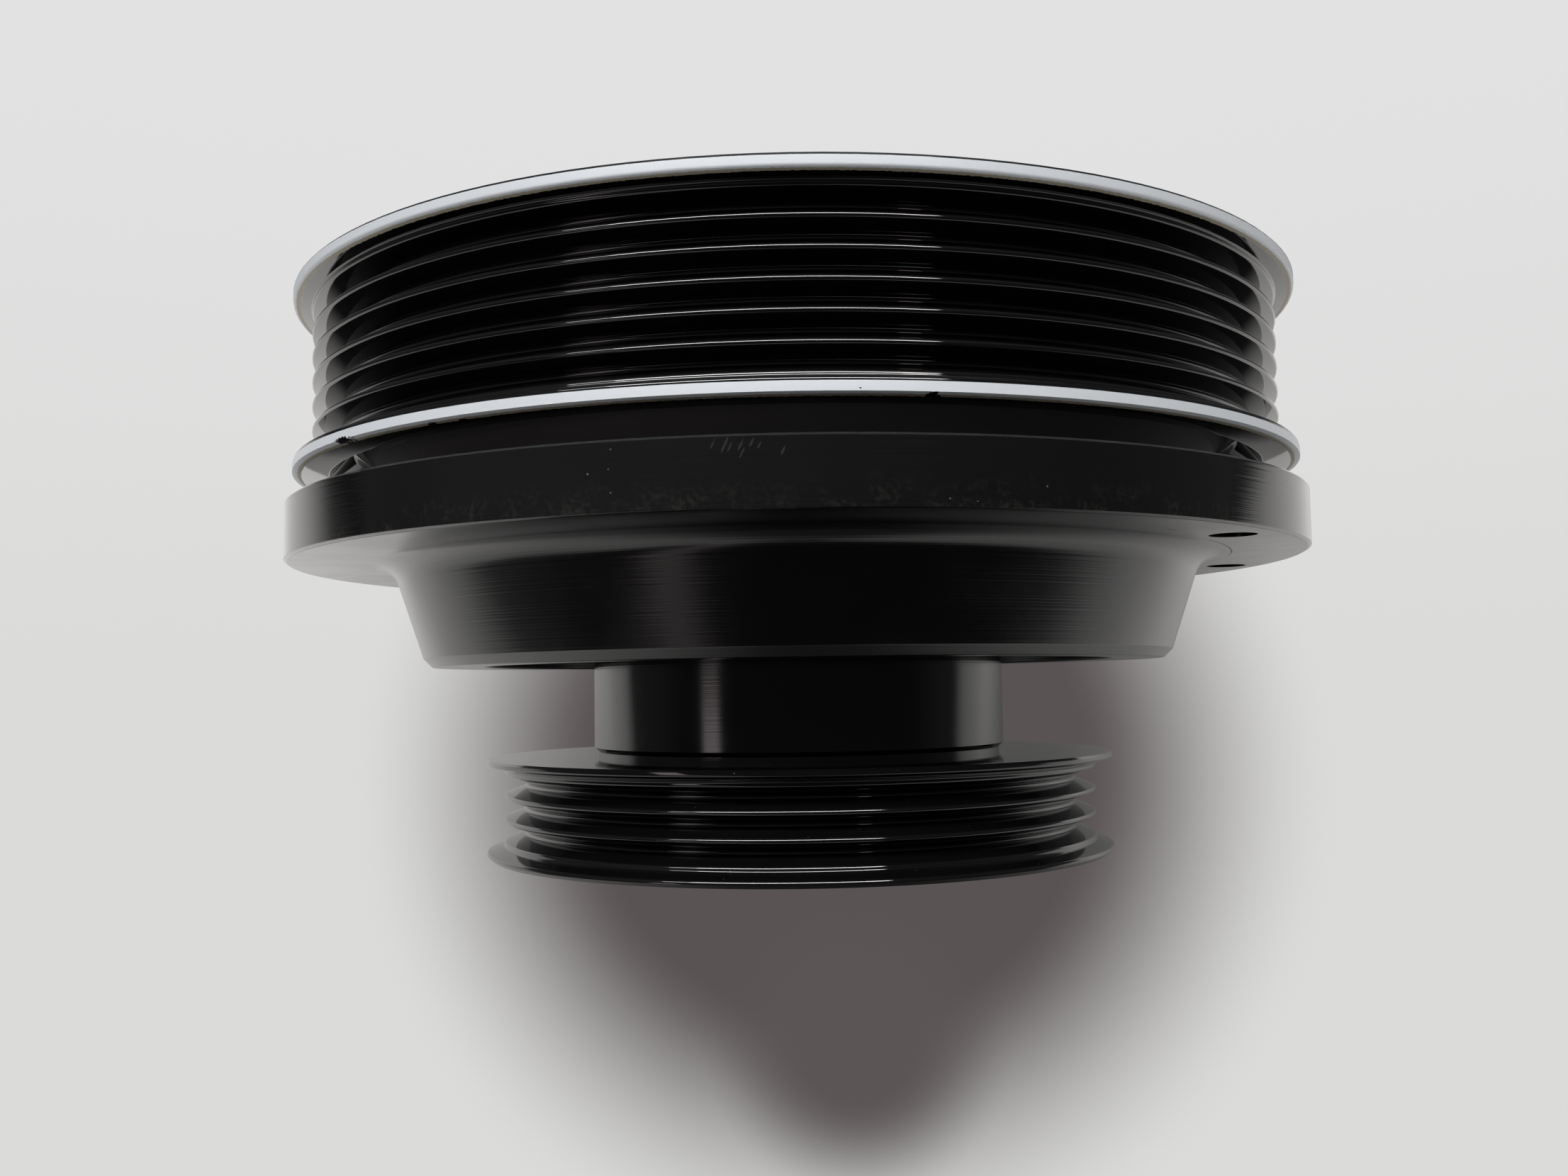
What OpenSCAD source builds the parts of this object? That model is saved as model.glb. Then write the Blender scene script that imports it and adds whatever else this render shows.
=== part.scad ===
// Double pulley for multi-rib belts. A wide grooved ring and a narrow grooved nose are
// pressed onto one turned hub, which has a round flange, a hollow conical boss and a neck.
// Sizes are in millimetres. The shaft axis is +Z, and the part stands on the nose's end face.

/* [Belt grooves] */
// Distance from one groove to the next
groove_pitch = 3.56; // [3:0.02:4]
// Full angle of each groove, in degrees
groove_angle = 40; // [36:1:44]
// Rounding of the rib crests
crest_round = 0.4; // [0.25:0.05:0.45]
// Rounding of the groove bottoms
root_round = 0.5; // [0.3:0.05:0.6]
// Flat land between an end rib's rounded crest and the foot of the rim's inner face
end_land = 0.35; // [0.3:0.05:0.45]

/* [Wide ring] */
// Number of grooves in the ring
ring_groove_count = 6; // [4:1:8]
// Diameter over the ring's rib crests
ring_crest_d = 147.7; // [145:0.1:152]
// How far the ring's two rims stand above the crests
ring_rim_rise = 2.65; // [1.5:0.05:4]
// Thickness of the ring, from the groove bottoms in to its seat on the hub
ring_body_t = 8.7; // [7.5:0.1:12]
// Height of the ring below its first groove
ring_low_rim = 2.95; // [2.6:0.05:5]
// Height of the ring above its last groove
ring_top_rim = 2.5; // [2:0.05:5]
// Slope of the ring rims' inner faces, in degrees
ring_flare_angle = 12; // [6:1:18]
// Width of the ring's bottom face, from the rim to the mouth of its hollow
ring_lip = 5.1; // [4:0.1:5.5]
// Depth of the hollow in the ring's underside
ring_hollow = 5; // [3:0.1:8]
// Wall between the hollow and the groove bottoms
ring_wall = 2.4; // [2:0.1:2.7]
// Width of the bevel round the bottom face
ring_bevel_w = 1.5; // [0.5:0.1:2]
// Height of the bevel round the bottom face
ring_bevel_h = 0.4; // [0.2:0.05:0.6]

/* [Nose pulley] */
// Number of grooves in the nose
nose_groove_count = 3; // [2:1:5]
// Diameter over the nose's rib crests
nose_crest_d = 91.7; // [88:0.1:100]
// How far the nose's two rims stand above the crests
nose_rim_rise = 2.65; // [1.5:0.05:3]
// Height of the nose below its first groove
nose_low_rim = 2.1; // [2.05:0.05:4]
// Height of the nose above its last groove
nose_top_rim = 2.05; // [1.9:0.05:4]
// Slope of the nose rims' inner faces, in degrees
nose_flare_angle = 17; // [11:1:19]
// Bevel round the bottom edge of the nose
nose_bevel = 0.5; // [0.3:0.05:0.55]
// Width of the ring-shaped face that the nose stands on
nose_foot = 15; // [8:0.5:18]
// Depth of the dished end inside that face
nose_dish = 3; // [1:0.5:5]

/* [Hub] */
// Diameter of the seat that carries the nose pulley
nose_seat_d = 44; // [38:0.5:48]
// Diameter of the neck between the boss and the nose
neck_d = 64.3; // [56:0.1:70]
// Length of the neck
neck_l = 13.95; // [8:0.05:25]
// Depth of the relief turned at the foot of the neck
relief_t = 0.7; // [0.3:0.1:1]
// Height of that relief
relief_h = 1.4; // [1.1:0.1:3]
// Diameter of the boss at its small end
boss_d = 115.7; // [110:0.1:119]
// Diameter of the boss where it would meet the flange
boss_root_d = 124.9; // [120:0.1:132]
// Height of the boss
boss_h = 15.2; // [10:0.1:25]
// Bevel round the small end of the boss
boss_bevel = 1.3; // [0.5:0.1:2]
// Fillet between the boss and the flange
boss_fillet = 4; // [2:0.1:5]
// Diameter of the recess round the neck in the boss's underside
recess_d = 97.6; // [88:0.1:104]
// Depth of that recess
recess_depth = 9; // [4:0.5:14]
// Diameter of the flange
flange_d = 155.2; // [153:0.1:165]
// Thickness of the flange
flange_t = 8.35; // [6:0.05:14]
// Gap between the flange and the ring
ring_gap = 4.25; // [3.5:0.05:8]
// How far the drum between the flange and the ring stands out from the ring's seat
drum_step = 2.5; // [1:0.1:2.8]
// How far the drum widens, at 45 degrees, to the shoulder under the ring
drum_flare = 2.4; // [1.5:0.1:2.6]
// Distance from the ring's top face down to the hub's
hub_set_back = 3; // [1:0.5:8]
// Wall between the ring's seat and the dish in the hub's top
dish_wall = 9; // [6:0.5:14]
// Depth of the dish
dish_depth = 24; // [4:0.5:28]
// Slope of the dish's walls, in degrees
dish_draft_angle = 4; // [1:1:8]
// Diameter of the boss round the bore
bore_boss_d = 50; // [46:1:56]

/* [Bore and key] */
// Diameter of the shaft bore
bore_d = 30; // [20:0.5:34]
// Width of the keyway
key_w = 8; // [5:0.5:10]
// Depth of the keyway beyond the bore wall
key_t = 3.3; // [2:0.1:4]
// Gap left all round in the pressed seats
seat_gap = 0.02; // [0.01:0.01:0.05]

/* [Balance holes] */
// Diameter of the holes drilled in the flange's underside
balance_d = 6.2; // [4:0.1:6.5]
// Distance from the flange's edge in to the middle of each hole
balance_inset = 6.2; // [5:0.1:7.2]
// Depth of the holes, down to the shoulder of the drill point
balance_depth = 4.5; // [2:0.1:4.8]
// Direction of the first hole, in degrees from +X
balance_first_angle = -37.4; // [-90:0.1:90]
// Angle from the first hole to the second
balance_step_angle = 43.6; // [20:0.1:180]

/* [Hidden] */

// Small bevel that takes the edge off turned corners
edge = 0.3;
// Rounding where a rim's inner face meets its outer face
rim_round = 0.4;
// Fillet where the land meets a rim's inner face
land_fillet = 0.3;
// Fillet in the corners of the hollows
hollow_fillet = 1.5;
// Bevel at both ends of the bore and on the seats
lead_in = 1;
// Full angle of a drill's point, in degrees
drill_angle = 118;
// How far a cut reaches past the faces that it opens
past = 1;
// Longest step and widest turn between the points of a rounded corner
arc_chord = 0.6;
arc_angle = 26;
$fn = 180;

half_angle = groove_angle / 2;
// How much a sharp V loses to its rounding, for each millimetre of radius
tip_loss = 1 / sin(half_angle) - 1;
groove_depth = groove_pitch / 2 / tan(half_angle) - (crest_round + root_round) * tip_loss;

ring_crest_r = ring_crest_d / 2;
ring_rim_r = ring_crest_r + ring_rim_rise;
ring_root_r = ring_crest_r - groove_depth;
nose_crest_r = nose_crest_d / 2;
nose_rim_r = nose_crest_r + nose_rim_rise;
// Radius of the seat that carries the ring
ring_seat_r = ring_root_r - ring_body_t;

// Heights from the nose's end face up to the ring's top face
nose_top = nose_low_rim + nose_groove_count * groove_pitch + nose_top_rim;
neck_top = nose_top + neck_l;
recess_floor = neck_top + recess_depth;
flange_low = neck_top + boss_h;
flange_top = flange_low + flange_t;
ring_low = flange_top + ring_gap;
ring_seat = ring_low + ring_hollow;
ring_top = ring_low + ring_low_rim + ring_groove_count * groove_pitch + ring_top_rim;
hub_top = ring_top - hub_set_back;
dish_floor = hub_top - dish_depth;

function unit(v) = v / norm(v);
function cross_z(u, v) = u.x * v.y - u.y * v.x;

// The points that round the corner at b, between a and c, with radius r
function fillet(a, b, c, r) =
    let (u = unit(a - b), w = unit(c - b),
         half = acos(u * w) / 2,
         start = b + u * r / tan(half),
         end = b + w * r / tan(half),
         centre = b + unit(u + w) * r / sin(half),
         turn = 180 - 2 * half,
         sense = sign(cross_z(start - centre, end - centre)),
         first = atan2(start.y - centre.y, start.x - centre.x),
         steps = ceil(max(turn / arc_angle, turn * PI / 180 * r / arc_chord)))
    [for (i = [0:steps])
        let (at = first + sense * turn * i / steps)
        centre + r * [cos(at), sin(at)]];

// A closed outline from corners of radius, height and rounding
function outline(corners) =
    let (n = len(corners), at = [for (c = corners) [c[0], c[1]]])
    [for (i = [0:n - 1])
        let (r = corners[i][2])
        each r > 0 ? fillet(at[(i + n - 1) % n], at[i], at[(i + 1) % n], r) : [at[i]]];

// Corners of a grooved rim, from its lower outer edge to its upper one, as sharp Vs with their rounding.
// The V of the first groove starts at height z0. Beside each end rib a short land leads to the rim's
// inner face, which slopes away from the grooves.
function grooved_face(crest_r, rise, count, z0, flare_angle) =
    let (tip_r = crest_r + crest_round * tip_loss,
         valley_r = tip_r - groove_pitch / 2 / tan(half_angle),
         inset = (tip_r - crest_r) * tan(half_angle),
         z1 = z0 + count * groove_pitch,
         reach = end_land + rise * tan(flare_angle))
    [[crest_r + rise, z0 - reach, rim_round],
     [crest_r, z0 - end_land, land_fillet],
     [crest_r, z0 + inset, crest_round],
     for (i = [0:count - 1])
         each [if (i > 0) [tip_r, z0 + i * groove_pitch, crest_round],
               [valley_r, z0 + (i + 0.5) * groove_pitch, root_round]],
     [crest_r, z1 - inset, crest_round],
     [crest_r, z1 + end_land, land_fillet],
     [crest_r + rise, z1 + reach, rim_round]];

module turned(corners) {
    rotate_extrude() polygon(outline(corners));
}

// The turned hub: nose seat, relieved neck, hollow conical boss, flange, drum, ring seat and dished top
module hub() {
    bore_r = bore_d / 2;
    seat_r = nose_seat_d / 2;
    neck_r = neck_d / 2;
    boss_r = boss_d / 2;
    flange_r = flange_d / 2;
    drum_r = ring_seat_r + drum_step;
    dish_r = ring_seat_r - dish_wall;
    recess_r = recess_d / 2;
    bore_boss_r = bore_boss_d / 2;
    draft = dish_depth * tan(dish_draft_angle);
    color([0.1, 0.1, 0.11]) difference() {
        turned([
            [bore_r, nose_dish + lead_in, 0],
            [bore_r + lead_in, nose_dish, 0],
            [seat_r - lead_in, nose_dish, 0],
            [seat_r, nose_dish + lead_in, 0],
            [seat_r, nose_top, 0],
            [neck_r - relief_t, nose_top, 0],
            [neck_r - relief_t, nose_top + relief_h - relief_t, 0],
            [neck_r, nose_top + relief_h, 0],
            [neck_r, recess_floor, hollow_fillet],
            [recess_r, recess_floor, hollow_fillet],
            [recess_r, neck_top, edge],
            [boss_r - boss_bevel, neck_top, edge],
            [boss_r, neck_top + boss_bevel, edge],
            [boss_root_d / 2, flange_low, boss_fillet],
            [flange_r - 2 * edge, flange_low, 0],
            [flange_r, flange_low + edge, 0],
            [flange_r, flange_top - edge, 0],
            [flange_r - edge, flange_top, 0],
            [drum_r, flange_top, hollow_fillet],
            [drum_r, ring_seat - drum_flare, edge],
            [drum_r + drum_flare, ring_seat, 0],
            [ring_seat_r, ring_seat, 0],
            [ring_seat_r, hub_top - lead_in, 0],
            [ring_seat_r - lead_in, hub_top, 0],
            [dish_r, hub_top, edge],
            [dish_r - draft, dish_floor, hollow_fillet],
            [bore_boss_r + draft, dish_floor, hollow_fillet],
            [bore_boss_r, hub_top, edge],
            [bore_r + lead_in, hub_top, 0],
            [bore_r, hub_top - lead_in, 0]
        ]);
        translate([0, -key_w / 2, nose_dish - past])
            cube([bore_r + key_t, key_w, hub_top - nose_dish + 2 * past]);
        for (i = [0, 1])
            rotate([0, 0, balance_first_angle + i * balance_step_angle])
                translate([flange_r - balance_inset, 0, flange_low])
                    balance_hole();
    }
}

// A blind drilled hole, open downwards, with the cone that the drill's point leaves
module balance_hole() {
    hole_r = balance_d / 2;
    rotate_extrude()
        polygon([[0, -past], [hole_r, -past], [hole_r, balance_depth],
                 [0, balance_depth + hole_r / tan(drill_angle / 2)]]);
}

// The wide pulley ring: grooves between two rims, a hollow underside and a pressed bore
module grooved_ring() {
    bore_r = ring_seat_r + seat_gap;
    color([0.05, 0.05, 0.055]) turned(concat(
        [[bore_r, ring_seat, 0],
         [ring_root_r - ring_wall, ring_seat, hollow_fillet],
         [ring_rim_r - ring_lip, ring_low, edge],
         [ring_rim_r - ring_bevel_w, ring_low, 0],
         [ring_rim_r, ring_low + ring_bevel_h, 0]],
        grooved_face(ring_crest_r, ring_rim_rise, ring_groove_count, ring_low + ring_low_rim,
                     ring_flare_angle),
        [[ring_rim_r, ring_top - edge, 0],
         [ring_rim_r - edge, ring_top, 0],
         [bore_r + lead_in, ring_top, 0],
         [bore_r, ring_top - lead_in, 0]]));
}

// The narrow nose pulley: grooves between two rims, a dished end and a pressed bore
module nose_pulley() {
    bore_r = nose_seat_d / 2 + seat_gap;
    foot_r = nose_rim_r - nose_bevel - nose_foot;
    color([0.05, 0.05, 0.055]) turned(concat(
        [[bore_r, nose_dish, 0],
         [foot_r, nose_dish, 0],
         [foot_r + nose_dish, 0, edge],
         [nose_rim_r - nose_bevel, 0, 0],
         [nose_rim_r, nose_bevel, 0]],
        grooved_face(nose_crest_r, nose_rim_rise, nose_groove_count, nose_low_rim,
                     nose_flare_angle),
        [[nose_rim_r, nose_top - edge, 0],
         [nose_rim_r - edge, nose_top, 0],
         [bore_r + edge, nose_top, 0],
         [bore_r, nose_top - edge, 0]]));
}

hub();
grooved_ring();
nose_pulley();
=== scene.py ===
"""A double belt pulley: a black coated hub, a wide enamelled ring with white rims and a narrow nose pulley.

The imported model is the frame. The finish of each piece is made here, and nothing on the object is moved.
"""
import math

import bpy
from mathutils import Matrix, Vector


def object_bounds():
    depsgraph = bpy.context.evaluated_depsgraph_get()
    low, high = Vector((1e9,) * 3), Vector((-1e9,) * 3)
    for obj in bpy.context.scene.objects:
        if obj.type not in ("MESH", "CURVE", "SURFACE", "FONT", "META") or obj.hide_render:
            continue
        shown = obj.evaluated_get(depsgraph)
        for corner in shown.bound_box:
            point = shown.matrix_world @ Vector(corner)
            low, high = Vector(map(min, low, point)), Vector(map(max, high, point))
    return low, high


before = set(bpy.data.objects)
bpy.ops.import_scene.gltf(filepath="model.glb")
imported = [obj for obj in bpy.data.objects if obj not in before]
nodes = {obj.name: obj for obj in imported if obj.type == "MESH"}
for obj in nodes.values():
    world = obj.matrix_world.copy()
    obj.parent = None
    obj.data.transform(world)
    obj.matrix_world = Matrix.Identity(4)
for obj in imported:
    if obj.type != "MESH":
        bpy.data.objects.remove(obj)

cad_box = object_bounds()

# Camera. The view is level with the neck, close to the part and turned slightly up, so the ring
# shows its underside and its rims curve like arches.
camera_distance = 0.22905
camera_height = 0.0254
camera_looks_up = math.radians(3.875)
camera_turns_left = math.radians(0.498)
camera_rolls = math.radians(-0.858)
camera_data = bpy.data.cameras.new("camera")
camera_data.sensor_width = 36
camera_data.lens = 32.94
camera_data.clip_start = 0.005
camera_data.clip_end = 50
camera = bpy.data.objects.new("camera", camera_data)
bpy.context.collection.objects.link(camera)
aim = (
    Matrix.Rotation(camera_turns_left, 4, "Z")
    @ Matrix.Rotation(math.radians(90) + camera_looks_up, 4, "X")
    @ Matrix.Rotation(camera_rolls, 4, "Z")
)
camera.matrix_world = Matrix.Translation((0, -camera_distance, camera_height)) @ aim
bpy.context.scene.camera = camera


# Hub. One iron casting, turned all over and dipped in satin black coating. The tool's feed marks
# stay under the coating as fine lines round the axis, so its highlights stretch along the axis.
def linear(colour):
    """The linear colour for an sRGB hex value such as 1a2b3c."""
    parts = [int(colour[i:i + 2], 16) / 255 for i in (0, 2, 4)]
    return [p / 12.92 if p <= 0.04045 else ((p + 0.055) / 1.055) ** 2.4 for p in parts] + [1]


def add(tree, kind, inputs=None, **settings):
    """Adds a node, with its settings, its socket values and its links from other nodes' outputs."""
    node = tree.nodes.new(kind)
    for name, value in settings.items():
        setattr(node, name, value)
    for socket, value in (inputs or {}).items():
        if isinstance(value, bpy.types.NodeSocket):
            tree.links.new(value, node.inputs[socket])
        else:
            node.inputs[socket].default_value = value
    return node


# Settings that many nodes share. A mix of colours has its two colours in sockets 6 and 7. An eased range
# reads socket 0 from socket 1 to 2, and gives socket 3 to 4, which are 0 and 1 where they are left out.
colours = {"data_type": "RGBA"}
eased = {"interpolation_type": "SMOOTHSTEP"}


def start_material(name):
    """A material with an empty node tree, and its shader and output nodes."""
    material = bpy.data.materials.new(name)
    material.use_nodes = True
    tree = material.node_tree
    tree.nodes.clear()
    shader = add(tree, "ShaderNodeBsdfPrincipled")
    add(tree, "ShaderNodeOutputMaterial", {"Surface": shader.outputs["BSDF"]})
    return material, tree, shader


def millimetres(tree):
    """The place on the part in millimetres, from the middle of the face that it stands on."""
    place = add(tree, "ShaderNodeTexCoord").outputs["Object"]
    return add(tree, "ShaderNodeVectorMath", {0: place, "Scale": 1000}, operation="SCALE").outputs[0]


def lathe_places(tree, place):
    """Radius and height in millimetres, and angle from the camera side in degrees."""
    x, y, z = add(tree, "ShaderNodeSeparateXYZ", {0: place}).outputs
    flat = add(tree, "ShaderNodeCombineXYZ", {"X": x, "Y": y}).outputs[0]
    radius = add(tree, "ShaderNodeVectorMath", {0: flat}, operation="LENGTH").outputs["Value"]
    towards = add(tree, "ShaderNodeMath", {0: y, 1: -1}, operation="MULTIPLY").outputs[0]
    turn = add(tree, "ShaderNodeMath", {0: x, 1: towards}, operation="ARCTAN2").outputs[0]
    angle = add(tree, "ShaderNodeMath", {0: turn}, operation="DEGREES").outputs[0]
    return radius, z, angle


def spots(tree, angle, across, places, ragged):
    """A mask of oval marks. A place is angle in degrees, position across, and the mark's half sizes."""
    total = None
    for at_angle, at_across, half_angle, half_across in places:
        span = {0: angle, 1: at_angle - half_angle, 2: at_angle + half_angle, 3: -1}
        along = add(tree, "ShaderNodeMapRange", span, clamp=False).outputs[0]
        span = {0: across, 1: at_across - half_across, 2: at_across + half_across, 3: -1}
        over = add(tree, "ShaderNodeMapRange", span, clamp=False).outputs[0]
        pair = add(tree, "ShaderNodeCombineXYZ", {"X": along, "Y": over}).outputs[0]
        away = add(tree, "ShaderNodeVectorMath", {0: pair}, operation="LENGTH").outputs["Value"]
        away = add(tree, "ShaderNodeMath", {0: away, 1: ragged}, operation="ADD").outputs[0]
        mark = add(tree, "ShaderNodeMapRange", {0: away, 1: 0.8, 2: 1.2, 3: 1, 4: 0}, **eased).outputs[0]
        if total is None:
            total = mark
        else:
            total = add(tree, "ShaderNodeMath", {0: total, 1: mark}, operation="MAXIMUM").outputs[0]
    return total


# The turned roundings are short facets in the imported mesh. This modifier joins the facets, keeps each
# edge of more than 28 degrees sharp and smooths the rest, so a crest shows one thin unbroken line.
smooth_below = math.radians(28)
arcs = bpy.data.node_groups.new("smooth_arcs", "GeometryNodeTree")
arcs.interface.new_socket("Geometry", in_out="INPUT", socket_type="NodeSocketGeometry")
arcs.interface.new_socket("Geometry", in_out="OUTPUT", socket_type="NodeSocketGeometry")
packed = add(arcs, "NodeGroupInput").outputs[0]
joined = add(arcs, "GeometryNodeMergeByDistance", {"Geometry": packed, "Distance": 1e-7}).outputs[0]
bend = add(arcs, "GeometryNodeInputMeshEdgeAngle").outputs[0]
sharp = add(arcs, "FunctionNodeCompare", {0: bend, 1: smooth_below}, operation="GREATER_THAN").outputs[0]
smoothed = add(arcs, "GeometryNodeSetMeshNormal", {"Mesh": joined, "Edge Sharpness": sharp}).outputs[0]
add(arcs, "NodeGroupOutput", {0: smoothed})


def finish_surface(name, material):
    """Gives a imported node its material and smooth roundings."""
    thing = nodes[name]
    thing.data.materials.clear()
    thing.data.materials.append(material)
    thing.modifiers.new("smooth_arcs", "NODES").node_group = arcs
    normals = thing.modifiers.new("normals", "WEIGHTED_NORMAL")
    normals.mode = "FACE_AREA_WITH_ANGLE"
    normals.weight = 100
    normals.keep_sharp = True


# Where each finish on the hub ends, by radius, height or half width in millimetres.
neck_edge = 32.6
boss_edge = 61.5
seat_edge = 63
rim_edge = cad_box[1][0] * 1000 - 0.6
flange_underside = 44.3
dust_line = 49
flange_top = 52.4
bore_edge = 15.9
key_side = 4.03
key_floor = 18.6
# Roughness of each of its surfaces.
neck_rough = 0.12
boss_rough = 0.22
underside_rough = 0.2
rim_rough = 0.13
# Sizes of its patterns in millimetres. The feed is about 0.2 mm in life, and is drawn as 0.4 mm so that
# its lines hold together in the picture.
hub_cloud = 11.1
hub_grain = 0.625
dust_patch = 2.5
feed = 0.4
# satin_black_coating_on_turned_iron: soft broad shine on the boss and the underside, sharper on the
# flange's rim and the neck, with dust, small bright specks and scuffs. The neck is a little greyer.
hub_material, tree, shader = start_material("satin_black_coating_on_turned_iron")
place = millimetres(tree)
radius, height, angle = lathe_places(tree, place)
cloud = add(tree, "ShaderNodeTexNoise", {"Vector": place, "Scale": 1 / hub_cloud, "Detail": 4}).outputs[0]
fine = add(tree, "ShaderNodeTexNoise", {"Vector": place, "Scale": 1 / hub_grain, "Detail": 3}).outputs[0]
ragged = add(tree, "ShaderNodeMapRange", {0: fine, 1: 0.3, 2: 0.7, 3: -0.35, 4: 0.35}, **eased).outputs[0]
span = {0: radius, 1: neck_edge, 2: neck_edge + 0.1}
past_neck = add(tree, "ShaderNodeMapRange", span, **eased).outputs[0]
span = {0: radius, 1: boss_edge - 1, 2: boss_edge + 1}
past_boss = add(tree, "ShaderNodeMapRange", span, **eased).outputs[0]
span = {0: radius, 1: rim_edge, 2: rim_edge + 0.2}
on_rim = add(tree, "ShaderNodeMapRange", span, **eased).outputs[0]
blacks = {0: cloud, 6: linear("0b0b0b"), 7: linear("0f0f0f")}
coating = add(tree, "ShaderNodeMix", blacks, **colours).outputs[2]
coating = add(tree, "ShaderNodeMix", {0: past_neck, 6: linear("1c1b1b"), 7: coating}, **colours).outputs[2]
rough = add(tree, "ShaderNodeMix", {0: past_neck, 2: neck_rough, 3: boss_rough}).outputs[0]
rough = add(tree, "ShaderNodeMix", {0: past_boss, 2: rough, 3: underside_rough}).outputs[0]
rough = add(tree, "ShaderNodeMix", {0: on_rim, 2: rough, 3: rim_rough}).outputs[0]
uneven = add(tree, "ShaderNodeMapRange", {0: cloud, 1: 0.35, 2: 0.65, 3: 0.92, 4: 1.08}, **eased).outputs[0]
rough = add(tree, "ShaderNodeMath", {0: rough, 1: uneven}, operation="MULTIPLY").outputs[0]
# Bright specks and slanted scuffs lie on the flange's rim, and dust has settled along its lower half.
speck_places = [
    (-14.9, 51.19, 0.07, 0.09), (-15.1, 49.04, 0.08, 0.11), (-16.9, 48.64, 0.08, 0.09),
    (-14.9, 46.47, 0.07, 0.08), (20.9, 46.74, 0.08, 0.15), (12.4, 45.15, 0.08, 0.08),
    (14.7, 44.89, 0.1, 0.08),
]
specks = spots(tree, angle, height, speck_places, ragged)
specks = add(tree, "ShaderNodeMath", {0: specks, 1: on_rim}, operation="MULTIPLY").outputs[0]
scuff_places = [
    (-21.3, 51.22, 0.09, 0.5), (-20.6, 51.1, 0.07, 0.4), (-18.5, 50.38, 0.1, 0.6), (-22.1, 51.1, 0.08, 0.6),
    (-22.9, 50.9, 0.06, 0.5), (-23.4, 51.0, 0.09, 0.7), (-24.4, 51.3, 0.07, 0.45), (-21.7, 50.3, 0.08, 0.5),
]
slanted = add(tree, "ShaderNodeMath", {0: height, 1: -0.35, 2: angle}, operation="MULTIPLY_ADD").outputs[0]
scuffs = spots(tree, slanted, height, scuff_places, ragged)
scuffs = add(tree, "ShaderNodeMath", {0: scuffs, 1: on_rim}, operation="MULTIPLY").outputs[0]
span = {0: height, 1: dust_line - 5, 2: dust_line, 3: 1, 4: 0}
settled = add(tree, "ShaderNodeMapRange", span, **eased).outputs[0]
patches = {"Vector": place, "Scale": 1 / dust_patch, "Detail": 6}
patchy = add(tree, "ShaderNodeTexNoise", patches).outputs[0]
patchy = add(tree, "ShaderNodeMapRange", {0: patchy, 1: 0.42, 2: 0.7}, **eased).outputs[0]
grainy = add(tree, "ShaderNodeMapRange", {0: fine, 1: 0.4, 2: 0.65}, **eased).outputs[0]
dust = on_rim
for factor in (settled, patchy, grainy):
    dust = add(tree, "ShaderNodeMath", {0: dust, 1: factor}, operation="MULTIPLY").outputs[0]
for mark, colour in ((dust, "242321"), (scuffs, "302f2d"), (specks, "5c5c59")):
    coating = add(tree, "ShaderNodeMix", {0: mark, 6: coating, 7: linear(colour)}, **colours).outputs[2]
# Greasy smudges lie on the flange's underside.
smudge_places = [
    (-41.3, 66.0, 0.6, 0.35), (-38.8, 66.7, 0.4, 0.5), (42.5, 69.4, 0.8, 0.3), (65, 66.6, 13, 0.12),
]
smudges = spots(tree, angle, radius, smudge_places, ragged)
span = {0: height, 1: flange_underside, 2: flange_underside + 0.1, 3: 1, 4: 0}
underneath = add(tree, "ShaderNodeMapRange", span, **eased).outputs[0]
smudges = add(tree, "ShaderNodeMath", {0: smudges, 1: underneath}, operation="MULTIPLY").outputs[0]
rough = add(tree, "ShaderNodeMix", {0: smudges, 2: rough, 3: 0.6}).outputs[0]
# The drum between the flange and the ring keeps a coat of grey dust.
span = {0: height, 1: flange_top, 2: flange_top + 0.3}
above_flange = add(tree, "ShaderNodeMapRange", span, **eased).outputs[0]
span = {0: radius, 1: seat_edge - 0.5, 2: seat_edge + 0.5}
outside_seat = add(tree, "ShaderNodeMapRange", span, **eased).outputs[0]
on_drum = add(tree, "ShaderNodeMath", {0: above_flange, 1: outside_seat}, operation="MULTIPLY").outputs[0]
coating = add(tree, "ShaderNodeMix", {0: on_drum, 6: coating, 7: linear("5f5c5c")}, **colours).outputs[2]
rough = add(tree, "ShaderNodeMix", {0: on_drum, 2: rough, 3: 0.75}).outputs[0]
# The bore and the keyway are cut after the coating, so they are bare iron.
x, y = add(tree, "ShaderNodeSeparateXYZ", {0: place}).outputs[:2]
off_middle = add(tree, "ShaderNodeMath", {0: y}, operation="ABSOLUTE").outputs[0]
span = {0: off_middle, 1: key_side, 2: key_side + 0.03, 3: 1, 4: 0}
between_walls = add(tree, "ShaderNodeMapRange", span, **eased).outputs[0]
span = {0: radius, 1: key_floor, 2: key_floor + 0.1, 3: 1, 4: 0}
within_floor = add(tree, "ShaderNodeMapRange", span, **eased).outputs[0]
bare = add(tree, "ShaderNodeMapRange", {0: x, 1: 0, 2: 0.1}, **eased).outputs[0]
for factor in (between_walls, within_floor):
    bare = add(tree, "ShaderNodeMath", {0: bare, 1: factor}, operation="MULTIPLY").outputs[0]
span = {0: radius, 1: bore_edge, 2: bore_edge + 0.05, 3: 1, 4: 0}
in_bore = add(tree, "ShaderNodeMapRange", span, **eased).outputs[0]
bare = add(tree, "ShaderNodeMath", {0: bare, 1: in_bore}, operation="MAXIMUM").outputs[0]
coating = add(tree, "ShaderNodeMix", {0: bare, 6: coating, 7: linear("8f8b86")}, **colours).outputs[2]
rough = add(tree, "ShaderNodeMix", {0: bare, 2: rough, 3: 0.35}).outputs[0]
tree.links.new(bare, shader.inputs["Metallic"])
tree.links.new(coating, shader.inputs["Base Color"])
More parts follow.
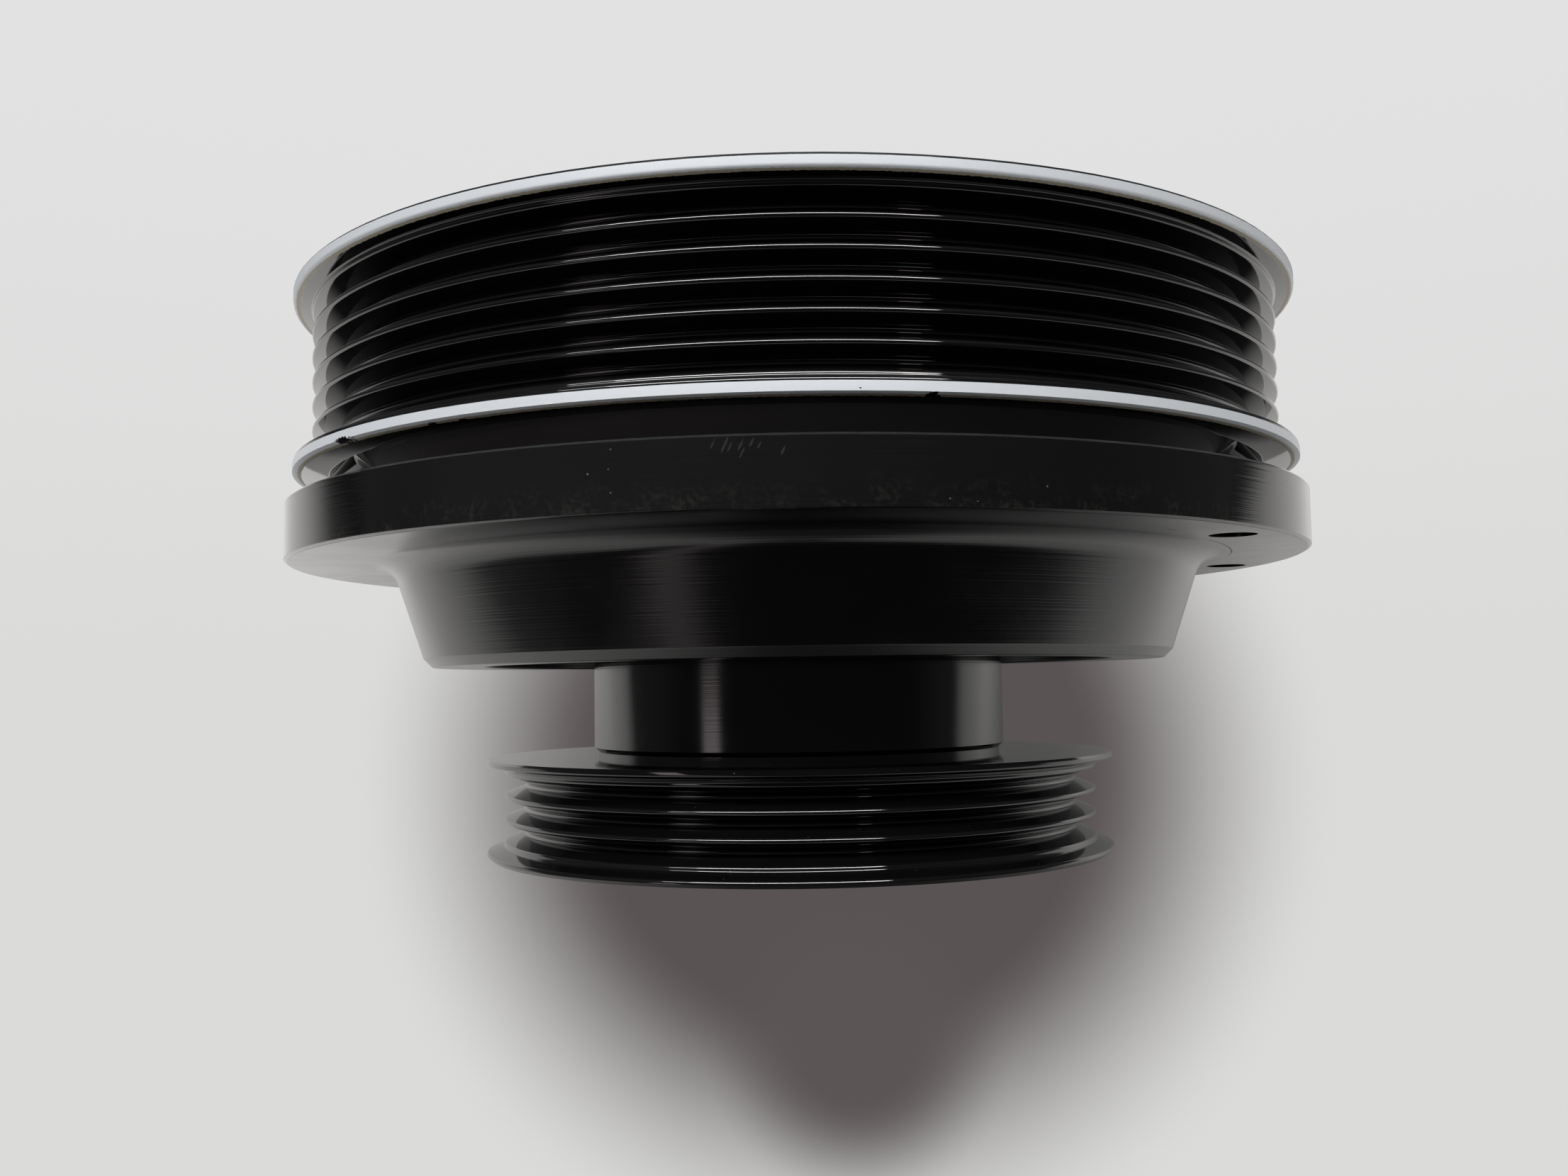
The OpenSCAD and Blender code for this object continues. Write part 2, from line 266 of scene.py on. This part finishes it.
tree.links.new(rough, shader.inputs["Roughness"])
# The feed lines stretch the highlights along the axis, and are fainter on the neck.
stretch = add(tree, "ShaderNodeMapRange", {0: rough, 1: 0.15, 2: 0.3, 4: 0.8}, **eased).outputs[0]
tree.links.new(stretch, shader.inputs["Anisotropic"])
shader.inputs["Anisotropic Rotation"].default_value = 0.25
round_axis = add(tree, "ShaderNodeTangent", direction_type="RADIAL", axis="Z").outputs[0]
tree.links.new(round_axis, shader.inputs["Tangent"])
along_cut = add(tree, "ShaderNodeMath", {0: radius, 1: height}, operation="ADD").outputs[0]
feed_marks = {"W": along_cut, "Scale": 1 / feed, "Detail": 2}
lines = add(tree, "ShaderNodeTexNoise", feed_marks, noise_dimensions="1D").outputs[0]
line_depth = add(tree, "ShaderNodeMix", {0: past_neck, 2: 0.25, 3: 1}).outputs[0]
grooves = {"Height": lines, "Strength": line_depth, "Distance": 0.000015}
bump = add(tree, "ShaderNodeBump", grooves).outputs[0]
tree.links.new(bump, shader.inputs["Normal"])
finish_surface("hub", hub_material)

# Wide ring. A turned ring in glossy black enamel, pressed onto the hub. Its two rims are painted white over
# the enamel, chipped in places, with a beige painted shade where the paint turns under at its edges.
ring_cloud = 6.67
ring_grain = 0.5556
# Where the paint ends, and where its painted shade begins, by radius and height in millimetres.
paint_edge = 75.6
paint_shade_edge = 76.1
lower_paint_top = 58.1
between_rims = 70
upper_rim_low = 81
upper_paint_top = cad_box[1][2] * 1000 - 0.39
# The narrow corner between the lowest rib and the lower rim, by radius and height in millimetres.
corner_inside = 73.87
corner_outside = 74.2
corner_low = 58.8
corner_top = 60
# glossy_black_enamel_with_white_rims: near-mirror black that shows the lit room as thin lines along
# the crests, and plain white bands that catch the light from above, beige with painted shade underneath.
ring_material, tree, shader = start_material("glossy_black_enamel_with_white_rims")
place = millimetres(tree)
radius, height, angle = lathe_places(tree, place)
fine = add(tree, "ShaderNodeTexNoise", {"Vector": place, "Scale": 1 / ring_grain, "Detail": 3}).outputs[0]
ragged = add(tree, "ShaderNodeMapRange", {0: fine, 1: 0.3, 2: 0.7, 3: -0.4, 4: 0.4}, **eased).outputs[0]
chip_places = [
    (11.5, 56.75, 0.65, 0.17), (-47.9, 56.97, 1.5, 0.35), (-34.3, 56.63, 0.5, 0.15),
    (-30.4, 56.6, 0.8, 0.12), (5.4, 57.26, 0.1, 0.06), (48.5, 58.31, 0.6, 0.12),
]
chips = spots(tree, angle, height, chip_places, ragged)
whole = add(tree, "ShaderNodeMath", {0: 1, 1: chips}, operation="SUBTRACT").outputs[0]
# The paint reaches further in on the lower rim, and its edge is uneven.
wobble = add(tree, "ShaderNodeMapRange", {0: fine, 1: 0.3, 2: 0.7, 3: -0.06, 4: 0.06}, **eased).outputs[0]
span = {0: height, 1: between_rims - 1, 2: between_rims + 1, 3: 0.42, 4: 0.12}
further_in = add(tree, "ShaderNodeMapRange", span, **eased).outputs[0]
reach = radius
for shift in (wobble, further_in):
    reach = add(tree, "ShaderNodeMath", {0: reach, 1: shift}, operation="ADD").outputs[0]
span = {0: reach, 1: paint_edge, 2: paint_edge + 0.1}
painted = add(tree, "ShaderNodeMapRange", span, **eased).outputs[0]
# Inside this radius, on the paint's downward-facing edges, the white is given a beige painted shade.
span = {0: reach, 1: paint_shade_edge, 2: paint_shade_edge + 0.2}
unshaded_paint = add(tree, "ShaderNodeMapRange", span, **eased).outputs[0]
span = {0: height, 1: upper_paint_top, 2: upper_paint_top + 0.08, 3: 1, 4: 0}
below_top = add(tree, "ShaderNodeMapRange", span, **eased).outputs[0]
span = {0: height, 1: lower_paint_top, 2: lower_paint_top + 0.08, 3: 1, 4: 0}
lower = add(tree, "ShaderNodeMapRange", span, **eased).outputs[0]
span = {0: height, 1: upper_rim_low, 2: upper_rim_low + 0.1}
upper = add(tree, "ShaderNodeMapRange", span, **eased).outputs[0]
on_rims = add(tree, "ShaderNodeMath", {0: lower, 1: upper}, operation="MAXIMUM").outputs[0]
for factor in (below_top, on_rims, whole):
    painted = add(tree, "ShaderNodeMath", {0: painted, 1: factor}, operation="MULTIPLY").outputs[0]
cloud = add(tree, "ShaderNodeTexNoise", {"Vector": place, "Scale": 1 / ring_cloud, "Detail": 4}).outputs[0]
blacks = {0: cloud, 6: linear("0b0b0c"), 7: linear("101011")}
enamel = add(tree, "ShaderNodeMix", blacks, **colours).outputs[2]
# The beige is painted shade on the paint's downward-facing edges. The white is the paint itself.
paint_and_painted_shade = {0: unshaded_paint, 6: linear("aaa38f"), 7: linear("e2e7ec")}
paint = add(tree, "ShaderNodeMix", paint_and_painted_shade, **colours).outputs[2]
finish = add(tree, "ShaderNodeMix", {0: painted, 6: enamel, 7: paint}, **colours).outputs[2]
tree.links.new(finish, shader.inputs["Base Color"])
gloss = add(tree, "ShaderNodeMapRange", {0: cloud, 1: 0.35, 2: 0.65, 3: 0.04, 4: 0.052}, **eased).outputs[0]
rough = add(tree, "ShaderNodeMix", {0: painted, 2: gloss, 3: 0.45}).outputs[0]
# Dirt dulls the corner above the lower rim.
span = {0: radius, 1: corner_inside, 2: corner_inside + 0.03}
past_crest = add(tree, "ShaderNodeMapRange", span, **eased).outputs[0]
span = {0: radius, 1: corner_outside, 2: corner_outside + 0.2, 3: 1, 4: 0}
short_of_rim = add(tree, "ShaderNodeMapRange", span, **eased).outputs[0]
span = {0: height, 1: corner_low, 2: corner_low + 0.1}
above_rim = add(tree, "ShaderNodeMapRange", span, **eased).outputs[0]
span = {0: height, 1: corner_top, 2: corner_top + 0.1, 3: 1, 4: 0}
below_rib = add(tree, "ShaderNodeMapRange", span, **eased).outputs[0]
dulled = past_crest
for factor in (short_of_rim, above_rim, below_rib):
    dulled = add(tree, "ShaderNodeMath", {0: dulled, 1: factor}, operation="MULTIPLY").outputs[0]
rough = add(tree, "ShaderNodeMix", {0: dulled, 2: rough, 3: 0.5}).outputs[0]
tree.links.new(rough, shader.inputs["Roughness"])
finish_surface("grooved_ring", ring_material)

# Nose pulley. A turned ring in the same glossy black enamel, pressed onto the end of the hub. Some
# dust lies on it. A grain is about 0.05 mm across in life, and is drawn about three times as wide.
nose_cloud = 5
nose_grain = 0.4545
dust_spacing = 1.25
# glossy_black_enamel_with_dust: near-mirror black whose thin lines of light break up a little where
# the dust lies.
nose_material, tree, shader = start_material("glossy_black_enamel_with_dust")
place = millimetres(tree)
cloud = add(tree, "ShaderNodeTexNoise", {"Vector": place, "Scale": 1 / nose_cloud, "Detail": 4}).outputs[0]
fine = add(tree, "ShaderNodeTexNoise", {"Vector": place, "Scale": 1 / nose_grain, "Detail": 3}).outputs[0]
dusty = add(tree, "ShaderNodeMapRange", {0: fine, 1: 0.5, 2: 0.62}, **eased).outputs[0]
scattered = {"Vector": place, "Scale": 1 / dust_spacing}
grains = add(tree, "ShaderNodeTexVoronoi", scattered).outputs["Distance"]
grains = add(tree, "ShaderNodeMapRange", {0: grains, 1: 0.05, 2: 0.09, 3: 1, 4: 0}, **eased).outputs[0]
grains = add(tree, "ShaderNodeMath", {0: grains, 1: dusty}, operation="MULTIPLY").outputs[0]
blacks = {0: cloud, 6: linear("0b0b0c"), 7: linear("101011")}
enamel = add(tree, "ShaderNodeMix", blacks, **colours).outputs[2]
enamel = add(tree, "ShaderNodeMix", {0: grains, 6: enamel, 7: linear("4a4846")}, **colours).outputs[2]
tree.links.new(enamel, shader.inputs["Base Color"])
gloss = add(tree, "ShaderNodeMapRange", {0: cloud, 1: 0.35, 2: 0.65, 3: 0.05, 4: 0.075}, **eased).outputs[0]
rough = add(tree, "ShaderNodeMix", {0: grains, 2: gloss, 3: 0.5}).outputs[0]
tree.links.new(rough, shader.inputs["Roughness"])
finish_surface("nose_pulley", nose_material)

# Floor. A plain pale sheet that fades into the backdrop well away from the part, so no edge shows. It
# gives its own light, so that the reflector card doesn't draw a line on it, and its shade is drawn.
floor_radius = 0.25
fade_middle = (0, -0.03, 0)
fade_from = 0.13
fade_to = 0.19
floor_steps = 96
turns = [2 * math.pi * i / floor_steps for i in range(floor_steps)]
floor_edge = [(floor_radius * math.cos(turn), floor_radius * math.sin(turn), 0) for turn in turns]
floor_mesh = bpy.data.meshes.new("floor")
floor_mesh.from_pydata(floor_edge, [], [list(range(floor_steps))])
floor = bpy.data.objects.new("floor", floor_mesh)
bpy.context.collection.objects.link(floor)
floor.visible_glossy = False
floor.visible_diffuse = False
# The shade is two ovals, one round the part and one in front of its nose. Each has its middle and half
# sizes as directions, how many half sizes out it has faded away, and its colour.
shade_ovals = [
    ((0.026, 1, -0.057), (0.245, 1, 0.245), 1.33, "5a5353"),
    ((0.035, 1, -0.235), (0.07, 1, 0.07), 1.5, "5c5556"),
]


def shaded_sheet(tree, towards):
    """The pale sheet and its shade, by direction. Floor and backdrop agree from the camera's place."""
    z = add(tree, "ShaderNodeSeparateXYZ", {0: towards}).outputs["Z"]
    high = add(tree, "ShaderNodeMapRange", {0: z, 1: -0.03, 2: 0.42}, **eased).outputs[0]
    pales = {0: high, 6: linear("dbdbda"), 7: linear("e2e2e2")}
    sheet = add(tree, "ShaderNodeMix", pales, **colours).outputs[2]
    for middle, half_sizes, clear_from, colour in shade_ovals:
        away = add(tree, "ShaderNodeVectorMath", {0: towards, 1: middle}, operation="SUBTRACT").outputs[0]
        away = add(tree, "ShaderNodeVectorMath", {0: away, 1: half_sizes}, operation="DIVIDE").outputs[0]
        away = add(tree, "ShaderNodeVectorMath", {0: away}, operation="LENGTH").outputs["Value"]
        fade = {0: away, 1: 2 - clear_from, 2: clear_from, 3: 1, 4: 0}
        shade = add(tree, "ShaderNodeMapRange", fade, **eased).outputs[0]
        sheet = add(tree, "ShaderNodeMix", {0: shade, 6: sheet, 7: linear(colour)}, **colours).outputs[2]
    return sheet


# pale_floor: matte off-white sheet, with painted shade where the part keeps the light off it.
floor_material, tree, shader = start_material("pale_floor")
shader.inputs["Base Color"].default_value = linear("000000")
shader.inputs["Specular IOR Level"].default_value = 0
shader.inputs["Emission Strength"].default_value = 1
place = add(tree, "ShaderNodeTexCoord").outputs["Object"]
seen_from = (0, -camera_distance, camera_height)
towards = add(tree, "ShaderNodeVectorMath", {0: place, 1: seen_from}, operation="SUBTRACT").outputs[0]
towards = add(tree, "ShaderNodeVectorMath", {0: towards}, operation="NORMALIZE").outputs[0]
tree.links.new(shaded_sheet(tree, towards), shader.inputs["Emission Color"])
out = add(tree, "ShaderNodeVectorMath", {0: place, 1: fade_middle}, operation="SUBTRACT").outputs[0]
out = add(tree, "ShaderNodeVectorMath", {0: out}, operation="LENGTH").outputs["Value"]
alpha = add(tree, "ShaderNodeMapRange", {0: out, 1: fade_from, 2: fade_to, 3: 1, 4: 0}, **eased).outputs[0]
tree.links.new(alpha, shader.inputs["Alpha"])
floor_mesh.materials.append(floor_material)

# Reflector card. A pale sheet leans behind the part, close to its flange and its nose, and gives the
# black surfaces their bright sides. It is darkest straight behind the part, where it is in shade,
# and fades towards its edges.
card_gap = 0.0405
card_lean = math.radians(33.66)
card_half_width = 1.2
card_bottom = -1.2
card_top = 0.25
card_out = Vector((0, math.cos(card_lean), -math.sin(card_lean)))
card_up = Vector((0, math.sin(card_lean), math.cos(card_lean)))
corners = [
    card_out * card_gap + card_up * up + Vector((x, 0, 0))
    for x, up in (
        (-card_half_width, card_bottom), (card_half_width, card_bottom),
        (card_half_width, card_top), (-card_half_width, card_top),
    )
]
card_mesh = bpy.data.meshes.new("reflector_card")
card_mesh.from_pydata(corners, [], [(0, 1, 2, 3)])
card = bpy.data.objects.new("reflector_card", card_mesh)
bpy.context.collection.objects.link(card)
card.visible_camera = False
card.visible_shadow = False
card_material = bpy.data.materials.new("reflector_card")
card_material.use_nodes = True
tree = card_material.node_tree
tree.nodes.clear()
place = add(tree, "ShaderNodeTexCoord").outputs["Object"]
x = add(tree, "ShaderNodeSeparateXYZ", {0: place}).outputs["X"]
up = add(tree, "ShaderNodeVectorMath", {0: place, 1: card_up}, operation="DOT_PRODUCT").outputs["Value"]
# Its left part darkens along a slanted line, which lies further left the lower it is.
below = add(tree, "ShaderNodeMath", {0: up, 1: 0.15}, operation="ADD").outputs[0]
below = add(tree, "ShaderNodeMath", {0: below, 1: 0}, operation="MINIMUM").outputs[0]
skewed = add(tree, "ShaderNodeMath", {0: below, 1: -0.65, 2: x}, operation="MULTIPLY_ADD").outputs[0]
span = {0: skewed, 1: -0.45, 2: -0.2, 3: 0.12, 4: 1.03}
left_fade = add(tree, "ShaderNodeMapRange", span, **eased).outputs[0]
right_fade = add(tree, "ShaderNodeMapRange", {0: x, 1: 0.22, 2: 0.95, 3: 1.04, 4: 0.2}, **eased).outputs[0]
top_fade = add(tree, "ShaderNodeMapRange", {0: up, 1: 0.14, 2: 0.19, 3: 1, 4: 0.1}, **eased).outputs[0]
aside = add(tree, "ShaderNodeMath", {0: x, 1: 0.015}, operation="SUBTRACT").outputs[0]
aside = add(tree, "ShaderNodeMath", {0: aside}, operation="ABSOLUTE").outputs[0]
behind = add(tree, "ShaderNodeMapRange", {0: up, 1: -0.4, 2: -0.25, 3: 0.4, 4: 0.1}, **eased).outputs[0]
shade = add(tree, "ShaderNodeMapRange", {0: aside, 1: 0.03, 2: 0.15, 3: behind}, **eased).outputs[0]
bright = left_fade
for factor in (right_fade, top_fade, shade):
    bright = add(tree, "ShaderNodeMath", {0: bright, 1: factor}, operation="MULTIPLY").outputs[0]
glow = add(tree, "ShaderNodeEmission", {"Color": linear("fffdfb"), "Strength": bright})
add(tree, "ShaderNodeOutputMaterial", {"Surface": glow.outputs[0]})
card_mesh.materials.append(card_material)

# Room. It is dim, darkest in front and low down, and lighter overhead. A narrow pinkish patch lies low
# on the left and shows on the neck and the boss. The camera sees the pale backdrop in its place.
world = bpy.data.worlds.new("studio")
bpy.context.scene.world = world
world.use_nodes = True
tree = world.node_tree
tree.nodes.clear()
towards = add(tree, "ShaderNodeTexCoord").outputs["Generated"]
x, y, z = add(tree, "ShaderNodeSeparateXYZ", {0: towards}).outputs
front = add(tree, "ShaderNodeMath", {0: y, 1: -1}, operation="MULTIPLY").outputs[0]
azimuth = add(tree, "ShaderNodeMath", {0: x, 1: front}, operation="ARCTAN2").outputs[0]
azimuth = add(tree, "ShaderNodeMath", {0: azimuth}, operation="DEGREES").outputs[0]
elevation = add(tree, "ShaderNodeMath", {0: z}, operation="ARCSINE").outputs[0]
elevation = add(tree, "ShaderNodeMath", {0: elevation}, operation="DEGREES").outputs[0]
low = add(tree, "ShaderNodeMapRange", {0: front, 1: 0.1, 2: 0.5, 3: 0.1, 4: 0.04}, **eased).outputs[0]
across = add(tree, "ShaderNodeMapRange", {0: x, 1: -0.7, 2: 0.7, 3: 0.17, 4: 0.08}, **eased).outputs[0]
in_front = add(tree, "ShaderNodeMapRange", {0: front, 1: 0, 2: 0.4}, **eased).outputs[0]
high = add(tree, "ShaderNodeMix", {0: in_front, 2: 0.1, 3: across}).outputs[0]
above_level = add(tree, "ShaderNodeMapRange", {0: elevation, 1: 0, 2: 6}, **eased).outputs[0]
dim = add(tree, "ShaderNodeMix", {0: above_level, 2: low, 3: high}).outputs[0]
overhead = add(tree, "ShaderNodeMapRange", {0: elevation, 1: 50, 2: 75}, **eased).outputs[0]
dim = add(tree, "ShaderNodeMix", {0: overhead, 2: dim, 3: 0.45}).outputs[0]
room = add(tree, "ShaderNodeBackground", {"Color": linear("ffffff"), "Strength": dim})
# The patch leans, and is brightest just below level.
leaning = {0: elevation, 1: -0.385, 2: -48.6}
middle = add(tree, "ShaderNodeMath", leaning, operation="MULTIPLY_ADD").outputs[0]
aside = add(tree, "ShaderNodeMath", {0: azimuth, 1: middle}, operation="SUBTRACT").outputs[0]
aside = add(tree, "ShaderNodeMath", {0: aside}, operation="ABSOLUTE").outputs[0]
patch = add(tree, "ShaderNodeMapRange", {0: aside, 1: 3.5, 2: 6, 3: 2.4, 4: 0}, **eased).outputs[0]
for low_end, high_end, at_low, at_high in ((-1.3, -0.5, 1, 0.2), (0, 3, 1, 0), (-28, -8, 0.35, 1)):
    span = {0: elevation, 1: low_end, 2: high_end, 3: at_low, 4: at_high}
    factor = add(tree, "ShaderNodeMapRange", span, **eased).outputs[0]
    patch = add(tree, "ShaderNodeMath", {0: patch, 1: factor}, operation="MULTIPLY").outputs[0]
pink = add(tree, "ShaderNodeBackground", {"Color": linear("fff0f2"), "Strength": patch})
room = add(tree, "ShaderNodeAddShader", {0: room.outputs[0], 1: pink.outputs[0]})
# The backdrop the camera sees carries the same painted shade as the floor.
backdrop = add(tree, "ShaderNodeBackground", {"Color": shaded_sheet(tree, towards)})
to_camera = add(tree, "ShaderNodeLightPath").outputs["Is Camera Ray"]
both = add(tree, "ShaderNodeMixShader", {0: to_camera, 1: room.outputs[0], 2: backdrop.outputs[0]})
add(tree, "ShaderNodeOutputWorld", {"Surface": both.outputs[0]})

# Windows. A long window high in front draws the bright lines along the crests, its brighter middle
# part shows in reflections only, and a narrow one to the right gives the hub a second highlight.
light_target = Vector((0, 0, 0.05))


def panel(name, azimuth, elevation, distance, width, tall, radiance, colour):
    """A rectangular light. Azimuth is from the camera side towards +X, and the panel faces the part."""
    data = bpy.data.lights.new(name, "AREA")
    data.shape = "RECTANGLE"
    data.size = width
    data.size_y = tall
    data.color = linear(colour)[:3]
    data.energy = radiance * math.pi * width * tall
    lamp = bpy.data.objects.new(name, data)
    bpy.context.collection.objects.link(lamp)
    around = math.radians(azimuth)
    above = math.radians(elevation)
    out = Vector((math.sin(around) * math.cos(above), -math.cos(around) * math.cos(above), math.sin(above)))
    lamp.location = light_target + out * distance
    lamp.rotation_euler = out.to_track_quat("Z", "Y").to_euler()
    lamp.visible_camera = False
    return lamp


panel("window", -9.5, 38, 1.2, 1.73, 0.17, 16, "ffffff")
glint = panel("window_glint", -4, 38, 1.19, 1.41, 0.17, 26, "ffffff")
glint.visible_diffuse = False
panel("right_reflection", 26, 27, 1.0, 0.08, 0.32, 4, "ffe4e2")

bpy.context.scene.view_settings.view_transform = "Standard"
